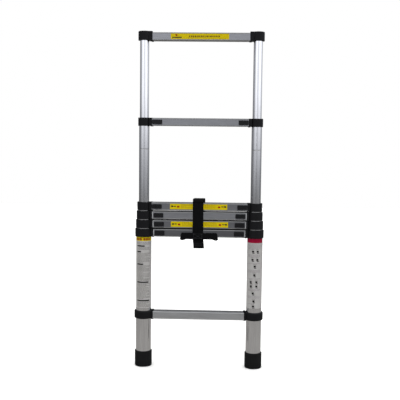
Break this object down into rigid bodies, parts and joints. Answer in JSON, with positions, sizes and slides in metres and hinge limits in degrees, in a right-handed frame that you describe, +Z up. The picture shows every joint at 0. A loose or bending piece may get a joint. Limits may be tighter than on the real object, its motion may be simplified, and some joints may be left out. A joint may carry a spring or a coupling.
{
  "type": "telescoping ladder",
  "caption": "Telescoping aluminium ladder with nested round tubes, black collars with release buttons, box rungs, rubber feet and a carry strap.",
  "frame": {"origin": "on the floor, midway between the two feet", "axes": "+Z up along the tubes, +X to the right seen from the front, front (buttons, strap) towards -Y"},
  "size_m": [0.466, 0.066, 1.2001],
  "materials": {
    "tube_aluminium": "satin anodised",
    "rung_aluminium": "satin extruded, grey",
    "label_film": "printed vinyl film",
    "collar_nylon": "moulded, fine matt grain, black",
    "button_nylon": "moulded, ribbed, black",
    "foot_rubber": "moulded, matt black",
    "webbing": "woven polypropylene webbing, black",
    "screw_steel": "zinc plated",
    "spring_steel": "drawn wire"
  },
  "bodies": {
    "section_1": {"bottom_rung": "rung_aluminium", "left_clamp": "collar_nylon", "left_collar_1": "collar_nylon", "left_foot": "foot_rubber", "left_tube_1": "tube_aluminium", "lock_springs_1": "spring_steel", "right_clamp": "collar_nylon", "right_collar_1": "collar_nylon", "right_foot": "foot_rubber", "right_tube_1": "tube_aluminium", "rung_1": "rung_aluminium", "rung_screws_1": "screw_steel"},
    "section_2": {"left_collar_2": "collar_nylon", "left_tube_2": "tube_aluminium", "lock_springs_2": "spring_steel", "right_collar_2": "collar_nylon", "right_tube_2": "tube_aluminium", "rung_2": "rung_aluminium", "rung_screws_2": "screw_steel"},
    "section_3": {"left_collar_3": "collar_nylon", "left_tube_3": "tube_aluminium", "lock_springs_3": "spring_steel", "right_collar_3": "collar_nylon", "right_tube_3": "tube_aluminium", "rung_3": "rung_aluminium", "rung_screws_3": "screw_steel"},
    "section_4": {"carry_handle": "webbing", "carry_strap": "webbing", "left_collar_4": "collar_nylon", "left_tube_4": "tube_aluminium", "lock_springs_4": "spring_steel", "right_collar_4": "collar_nylon", "right_tube_4": "tube_aluminium", "rung_4": "rung_aluminium", "rung_screws_4": "screw_steel"},
    "section_5": {"left_collar_5": "collar_nylon", "left_tube_5": "tube_aluminium", "lock_springs_5": "spring_steel", "right_collar_5": "collar_nylon", "right_tube_5": "tube_aluminium", "rung_5": "rung_aluminium", "rung_screws_5": "screw_steel"},
    "section_6": {"left_top_cap": "collar_nylon", "left_tube_6": "tube_aluminium", "right_top_cap": "collar_nylon", "right_tube_6": "tube_aluminium", "rung_screws_6": "screw_steel", "top_rung": "rung_aluminium"},
    "left_button_1": {"left_release_button_1": "button_nylon"},
    "left_button_2": {"left_release_button_2": "button_nylon"},
    "left_button_3": {"left_release_button_3": "button_nylon"},
    "left_button_4": {"left_release_button_4": "button_nylon"},
    "left_button_5": {"left_release_button_5": "button_nylon"},
    "right_button_1": {"right_release_button_1": "button_nylon"},
    "right_button_2": {"right_release_button_2": "button_nylon"},
    "right_button_3": {"right_release_button_3": "button_nylon"},
    "right_button_4": {"right_release_button_4": "button_nylon"},
    "right_button_5": {"right_release_button_5": "button_nylon"}
  },
  "joints": [
    {"name": "section_2_slide", "type": "slide", "parent": "section_1", "child": "section_2", "axis": [0, 0, 1], "range_m": [0, 0.2683]},
    {"name": "section_3_slide", "type": "slide", "parent": "section_2", "child": "section_3", "axis": [0, 0, 1], "range_m": [0, 0.2683]},
    {"name": "section_4_slide", "type": "slide", "parent": "section_3", "child": "section_4", "axis": [0, 0, 1], "range_m": [0, 0.2683]},
    {"name": "section_5_slide", "type": "slide", "parent": "section_4", "child": "section_5", "axis": [0, 0, 1], "range_m": [-0.2683, 0], "deforming": ["carry_strap"]},
    {"name": "section_6_slide", "type": "slide", "parent": "section_5", "child": "section_6", "axis": [0, 0, 1], "range_m": [-0.2663, 0]},
    {"name": "left_button_1_slide", "type": "slide", "parent": "section_1", "child": "left_button_1", "axis": [1, 0, 0], "range_m": [-0.0045, 0]},
    {"name": "right_button_1_slide", "type": "slide", "parent": "section_1", "child": "right_button_1", "axis": [-1, 0, 0], "range_m": [-0.0045, 0]},
    {"name": "left_button_2_slide", "type": "slide", "parent": "section_2", "child": "left_button_2", "axis": [1, 0, 0], "range_m": [-0.0045, 0]},
    {"name": "right_button_2_slide", "type": "slide", "parent": "section_2", "child": "right_button_2", "axis": [-1, 0, 0], "range_m": [-0.0045, 0]},
    {"name": "left_button_3_slide", "type": "slide", "parent": "section_3", "child": "left_button_3", "axis": [1, 0, 0], "range_m": [-0.0045, 0]},
    {"name": "right_button_3_slide", "type": "slide", "parent": "section_3", "child": "right_button_3", "axis": [-1, 0, 0], "range_m": [-0.0045, 0]},
    {"name": "left_button_4_slide", "type": "slide", "parent": "section_4", "child": "left_button_4", "axis": [1, 0, 0], "range_m": [0, 0.0045], "stiffness_N_per_m": 400},
    {"name": "right_button_4_slide", "type": "slide", "parent": "section_4", "child": "right_button_4", "axis": [-1, 0, 0], "range_m": [0, 0.0045], "stiffness_N_per_m": 400},
    {"name": "left_button_5_slide", "type": "slide", "parent": "section_5", "child": "left_button_5", "axis": [1, 0, 0], "range_m": [0, 0.0045], "stiffness_N_per_m": 400},
    {"name": "right_button_5_slide", "type": "slide", "parent": "section_5", "child": "right_button_5", "axis": [-1, 0, 0], "range_m": [0, 0.0045], "stiffness_N_per_m": 400}
  ]
}
